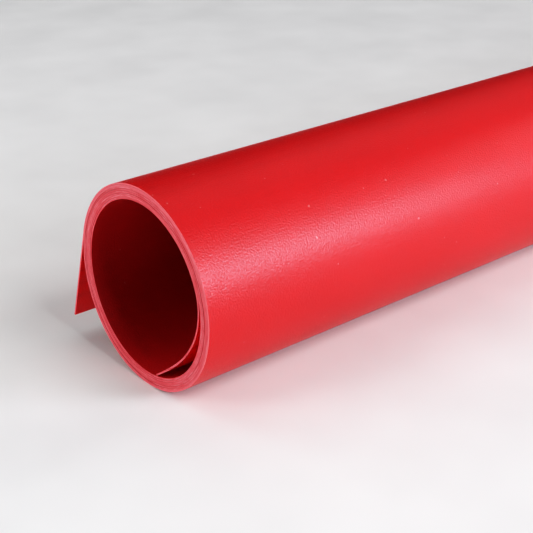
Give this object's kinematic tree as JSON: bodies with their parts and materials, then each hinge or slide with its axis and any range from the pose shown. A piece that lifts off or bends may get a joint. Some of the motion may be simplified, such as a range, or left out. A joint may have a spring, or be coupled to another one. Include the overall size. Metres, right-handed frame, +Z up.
{
  "type": "rolled backdrop sheet",
  "caption": "Coreless roll of a matte red PVC backdrop sheet with a loose straight tail and an inner end that springs off the bore wall.",
  "frame": {"origin": "on the floor under the middle of the roll's box", "axes": "+X along the roll axis, +Y to the side the loose tail hangs on, +Z up"},
  "size_m": [0.68, 0.0642, 0.0566],
  "materials": {
    "pvc_sheet": "matte, with a fine frosted grain"
  },
  "bodies": {
    "wound_turn_1": {"wound_turn_1": "pvc_sheet"},
    "wound_turn_2": {"wound_turn_2": "pvc_sheet"},
    "wound_turn_3": {"wound_turn_3": "pvc_sheet"},
    "wound_turn_4": {"wound_turn_4": "pvc_sheet"},
    "wound_turn_5": {"wound_turn_5": "pvc_sheet"},
    "wound_turn_6": {"wound_turn_6": "pvc_sheet"},
    "wound_turn_7": {"wound_turn_7": "pvc_sheet"},
    "unroll_strip_01": {"unroll_strip_01": "pvc_sheet"},
    "unroll_strip_02": {"unroll_strip_02": "pvc_sheet"},
    "unroll_strip_03": {"unroll_strip_03": "pvc_sheet"},
    "unroll_strip_04": {"unroll_strip_04": "pvc_sheet"},
    "unroll_strip_05": {"unroll_strip_05": "pvc_sheet"},
    "unroll_strip_06": {"unroll_strip_06": "pvc_sheet"},
    "unroll_strip_07": {"unroll_strip_07": "pvc_sheet"},
    "unroll_strip_08": {"unroll_strip_08": "pvc_sheet"},
    "unroll_strip_09": {"unroll_strip_09": "pvc_sheet"},
    "unroll_strip_10": {"unroll_strip_10": "pvc_sheet"},
    "unroll_strip_11": {"unroll_strip_11": "pvc_sheet"},
    "unroll_strip_12": {"unroll_strip_12": "pvc_sheet"},
    "tail_strip_1": {"tail_strip_1": "pvc_sheet"},
    "tail_strip_2": {"tail_strip_2": "pvc_sheet"},
    "tail_strip_3": {"tail_strip_3": "pvc_sheet"},
    "tail_strip_4": {"tail_strip_4": "pvc_sheet"},
    "tail_strip_5": {"tail_strip_5": "pvc_sheet"},
    "tail_strip_6": {"tail_strip_6": "pvc_sheet"},
    "inner_end_strip_01": {"inner_end_strip_01": "pvc_sheet"},
    "inner_end_strip_02": {"inner_end_strip_02": "pvc_sheet"},
    "inner_end_strip_03": {"inner_end_strip_03": "pvc_sheet"},
    "inner_end_strip_04": {"inner_end_strip_04": "pvc_sheet"},
    "inner_end_strip_05": {"inner_end_strip_05": "pvc_sheet"},
    "inner_end_strip_06": {"inner_end_strip_06": "pvc_sheet"},
    "inner_end_strip_07": {"inner_end_strip_07": "pvc_sheet"},
    "inner_end_strip_08": {"inner_end_strip_08": "pvc_sheet"},
    "inner_end_strip_09": {"inner_end_strip_09": "pvc_sheet"},
    "inner_end_strip_10": {"inner_end_strip_10": "pvc_sheet"}
  },
  "joints": [
    {"name": "telescope_6", "type": "slide", "parent": "wound_turn_7", "child": "wound_turn_6", "axis": [-1, 0, 0], "range_m": [-0.008, 0.008]},
    {"name": "telescope_5", "type": "slide", "parent": "wound_turn_6", "child": "wound_turn_5", "axis": [-1, 0, 0], "range_m": [-0.008, 0.008]},
    {"name": "telescope_4", "type": "slide", "parent": "wound_turn_5", "child": "wound_turn_4", "axis": [-1, 0, 0], "range_m": [-0.008, 0.008]},
    {"name": "telescope_3", "type": "slide", "parent": "wound_turn_4", "child": "wound_turn_3", "axis": [-1, 0, 0], "range_m": [-0.008, 0.008]},
    {"name": "telescope_2", "type": "slide", "parent": "wound_turn_3", "child": "wound_turn_2", "axis": [-1, 0, 0], "range_m": [-0.008, 0.008]},
    {"name": "telescope_1", "type": "slide", "parent": "wound_turn_2", "child": "wound_turn_1", "axis": [-1, 0, 0], "range_m": [-0.008, 0.008]},
    {"name": "unroll_01", "type": "hinge", "parent": "wound_turn_7", "child": "unroll_strip_01", "pos_m": [0, -0.01143, 0.05529], "axis": [1, 0, 0], "range_deg": [0, 7.5]},
    {"name": "unroll_02", "type": "hinge", "parent": "unroll_strip_01", "child": "unroll_strip_02", "pos_m": [0, -0.00782, 0.05608], "axis": [1, 0, 0], "range_deg": [0, 7.5]},
    {"name": "unroll_03", "type": "hinge", "parent": "unroll_strip_02", "child": "unroll_strip_03", "pos_m": [0, -0.00413, 0.05638], "axis": [1, 0, 0], "range_deg": [0, 7.5]},
    {"name": "unroll_04", "type": "hinge", "parent": "unroll_strip_03", "child": "unroll_strip_04", "pos_m": [0, -0.00044, 0.05621], "axis": [1, 0, 0], "range_deg": [0, 7.5]},
    {"name": "unroll_05", "type": "hinge", "parent": "unroll_strip_04", "child": "unroll_strip_05", "pos_m": [0, 0.00319, 0.05555], "axis": [1, 0, 0], "range_deg": [0, 7.5]},
    {"name": "unroll_06", "type": "hinge", "parent": "unroll_strip_05", "child": "unroll_strip_06", "pos_m": [0, 0.00671, 0.05442], "axis": [1, 0, 0], "range_deg": [0, 7.5]},
    {"name": "unroll_07", "type": "hinge", "parent": "unroll_strip_06", "child": "unroll_strip_07", "pos_m": [0, 0.01006, 0.05285], "axis": [1, 0, 0], "range_deg": [0, 7.5]},
    {"name": "unroll_08", "type": "hinge", "parent": "unroll_strip_07", "child": "unroll_strip_08", "pos_m": [0, 0.01316, 0.05085], "axis": [1, 0, 0], "range_deg": [0, 7.5]},
    {"name": "unroll_09", "type": "hinge", "parent": "unroll_strip_08", "child": "unroll_strip_09", "pos_m": [0, 0.01598, 0.04846], "axis": [1, 0, 0], "range_deg": [0, 7.5]},
    {"name": "unroll_10", "type": "hinge", "parent": "unroll_strip_09", "child": "unroll_strip_10", "pos_m": [0, 0.01847, 0.04572], "axis": [1, 0, 0], "range_deg": [0, 7.5]},
    {"name": "unroll_11", "type": "hinge", "parent": "unroll_strip_10", "child": "unroll_strip_11", "pos_m": [0, 0.02058, 0.04269], "axis": [1, 0, 0], "range_deg": [0, 7.5]},
    {"name": "unroll_12", "type": "hinge", "parent": "unroll_strip_11", "child": "unroll_strip_12", "pos_m": [0, 0.02227, 0.0394], "axis": [1, 0, 0], "range_deg": [0, 7.5]},
    {"name": "tail_curl_1", "type": "hinge", "parent": "unroll_strip_12", "child": "tail_strip_1", "pos_m": [0, 0.02416, 0.03368], "axis": [1, 0, 0], "range_deg": [-9.3, 4]},
    {"name": "tail_curl_2", "type": "hinge", "parent": "tail_strip_1", "child": "tail_strip_2", "pos_m": [0, 0.02545, 0.02919], "axis": [1, 0, 0], "range_deg": [-9.3, 4]},
    {"name": "tail_curl_3", "type": "hinge", "parent": "tail_strip_2", "child": "tail_strip_3", "pos_m": [0, 0.02673, 0.0247], "axis": [1, 0, 0], "range_deg": [-9.3, 4]},
    {"name": "tail_curl_4", "type": "hinge", "parent": "tail_strip_3", "child": "tail_strip_4", "pos_m": [0, 0.02802, 0.02021], "axis": [1, 0, 0], "range_deg": [-9.3, 4]},
    {"name": "tail_curl_5", "type": "hinge", "parent": "tail_strip_4", "child": "tail_strip_5", "pos_m": [0, 0.02931, 0.01572], "axis": [1, 0, 0], "range_deg": [-9.3, 4]},
    {"name": "tail_curl_6", "type": "hinge", "parent": "tail_strip_5", "child": "tail_strip_6", "pos_m": [0, 0.0306, 0.01123], "axis": [1, 0, 0], "range_deg": [-9.3, 4]},
    {"name": "inner_end_01", "type": "hinge", "parent": "wound_turn_1", "child": "inner_end_strip_01", "pos_m": [0, -0.02663, 0.03651], "axis": [-1, 0, 0], "range_deg": [-0.7, 2.11]},
    {"name": "inner_end_02", "type": "hinge", "parent": "inner_end_strip_01", "child": "inner_end_strip_02", "pos_m": [0, -0.02752, 0.03263], "axis": [-1, 0, 0], "range_deg": [-1.18, 3.55]},
    {"name": "inner_end_03", "type": "hinge", "parent": "inner_end_strip_02", "child": "inner_end_strip_03", "pos_m": [0, -0.02749, 0.02865], "axis": [-1, 0, 0], "range_deg": [-0.74, 2.21]},
    {"name": "inner_end_04", "type": "hinge", "parent": "inner_end_strip_03", "child": "inner_end_strip_04", "pos_m": [0, -0.02664, 0.02475], "axis": [-1, 0, 0], "range_deg": [-0.29, 0.87]},
    {"name": "inner_end_05", "type": "hinge", "parent": "inner_end_strip_04", "child": "inner_end_strip_05", "pos_m": [0, -0.0251, 0.02108], "axis": [-1, 0, 0], "range_deg": [-0.4669, 0.1557]},
    {"name": "inner_end_06", "type": "hinge", "parent": "inner_end_strip_05", "child": "inner_end_strip_06", "pos_m": [0, -0.023, 0.01769], "axis": [-1, 0, 0], "range_deg": [-1.81, 0.6]},
    {"name": "inner_end_07", "type": "hinge", "parent": "inner_end_strip_06", "child": "inner_end_strip_07", "pos_m": [0, -0.02048, 0.0146], "axis": [-1, 0, 0], "range_deg": [-3.15, 1.05]},
    {"name": "inner_end_08", "type": "hinge", "parent": "inner_end_strip_07", "child": "inner_end_strip_08", "pos_m": [0, -0.01766, 0.01178], "axis": [-1, 0, 0], "range_deg": [-4.48, 1.49]},
    {"name": "inner_end_09", "type": "hinge", "parent": "inner_end_strip_08", "child": "inner_end_strip_09", "pos_m": [0, -0.01462, 0.00919], "axis": [-1, 0, 0], "range_deg": [-5.82, 1.94]},
    {"name": "inner_end_10", "type": "hinge", "parent": "inner_end_strip_09", "child": "inner_end_strip_10", "pos_m": [0, -0.01145, 0.00677], "axis": [-1, 0, 0], "range_deg": [-7.16, 2.39]}
  ],
  "couplings": [
    {"joint": "telescope_5", "follows": "telescope_6", "ratio": 1},
    {"joint": "telescope_4", "follows": "telescope_6", "ratio": 1},
    {"joint": "telescope_3", "follows": "telescope_6", "ratio": 1},
    {"joint": "telescope_2", "follows": "telescope_6", "ratio": 1},
    {"joint": "telescope_1", "follows": "telescope_6", "ratio": 1},
    {"joint": "unroll_02", "follows": "unroll_01", "ratio": 1},
    {"joint": "unroll_03", "follows": "unroll_01", "ratio": 1},
    {"joint": "unroll_04", "follows": "unroll_01", "ratio": 1},
    {"joint": "unroll_05", "follows": "unroll_01", "ratio": 1},
    {"joint": "unroll_06", "follows": "unroll_01", "ratio": 1},
    {"joint": "unroll_07", "follows": "unroll_01", "ratio": 1},
    {"joint": "unroll_08", "follows": "unroll_01", "ratio": 1},
    {"joint": "unroll_09", "follows": "unroll_01", "ratio": 1},
    {"joint": "unroll_10", "follows": "unroll_01", "ratio": 1},
    {"joint": "unroll_11", "follows": "unroll_01", "ratio": 1},
    {"joint": "unroll_12", "follows": "unroll_01", "ratio": 1},
    {"joint": "tail_curl_2", "follows": "tail_curl_1", "ratio": 1},
    {"joint": "tail_curl_3", "follows": "tail_curl_1", "ratio": 1},
    {"joint": "tail_curl_4", "follows": "tail_curl_1", "ratio": 1},
    {"joint": "tail_curl_5", "follows": "tail_curl_1", "ratio": 1},
    {"joint": "tail_curl_6", "follows": "tail_curl_1", "ratio": 1},
    {"joint": "inner_end_02", "follows": "inner_end_01", "ratio": 1.6827},
    {"joint": "inner_end_03", "follows": "inner_end_01", "ratio": 1.048},
    {"joint": "inner_end_04", "follows": "inner_end_01", "ratio": 0.41341},
    {"joint": "inner_end_05", "follows": "inner_end_01", "ratio": -0.22123},
    {"joint": "inner_end_06", "follows": "inner_end_01", "ratio": -0.85586},
    {"joint": "inner_end_07", "follows": "inner_end_01", "ratio": -1.4905},
    {"joint": "inner_end_08", "follows": "inner_end_01", "ratio": -2.1251},
    {"joint": "inner_end_09", "follows": "inner_end_01", "ratio": -2.7598},
    {"joint": "inner_end_10", "follows": "inner_end_01", "ratio": -3.3944}
  ]
}
